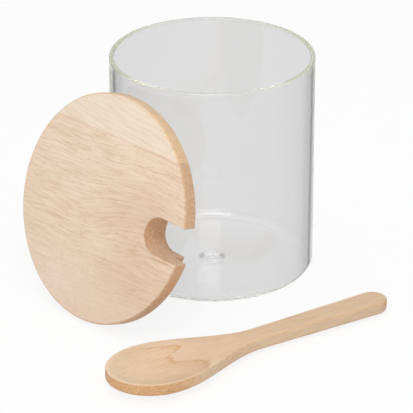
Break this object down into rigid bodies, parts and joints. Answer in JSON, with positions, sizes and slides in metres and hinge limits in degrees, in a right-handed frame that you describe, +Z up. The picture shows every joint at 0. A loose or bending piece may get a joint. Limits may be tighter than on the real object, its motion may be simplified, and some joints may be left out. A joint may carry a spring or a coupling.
{
  "type": "glass sugar bowl",
  "caption": "Straight-sided clear glass sugar jar with a notched wooden lid leaning on its side and a wooden spoon lying in front.",
  "frame": {"origin": "centre of the jar's flat foot, on the table", "axes": "+Z up along the jar's axis, -Y towards the viewer of the picture, +X to the right"},
  "size_m": [0.176, 0.2002, 0.1108],
  "materials": {
    "jar_glass": "clear, fire polished",
    "upper_board_wood": "smooth unvarnished, pale cream",
    "main_board_wood": "smooth unvarnished, pinkish tan",
    "spoon_wood": "smooth unvarnished, pale honey"
  },
  "bodies": {
    "jar": {"glass_jar": "jar_glass"},
    "lid": {"lid_upper_board": "upper_board_wood", "lid_main_board": "main_board_wood"},
    "spoon": {"wooden_spoon": "spoon_wood"}
  },
  "joints": [
    {"name": "lid_lift", "type": "slide", "parent": "jar", "child": "lid", "axis": [0, 0, 1], "range_m": [0, 0.12]},
    {"name": "spoon_lift", "type": "slide", "parent": "jar", "child": "spoon", "axis": [0, 0, 1], "range_m": [0, 0.12]}
  ]
}
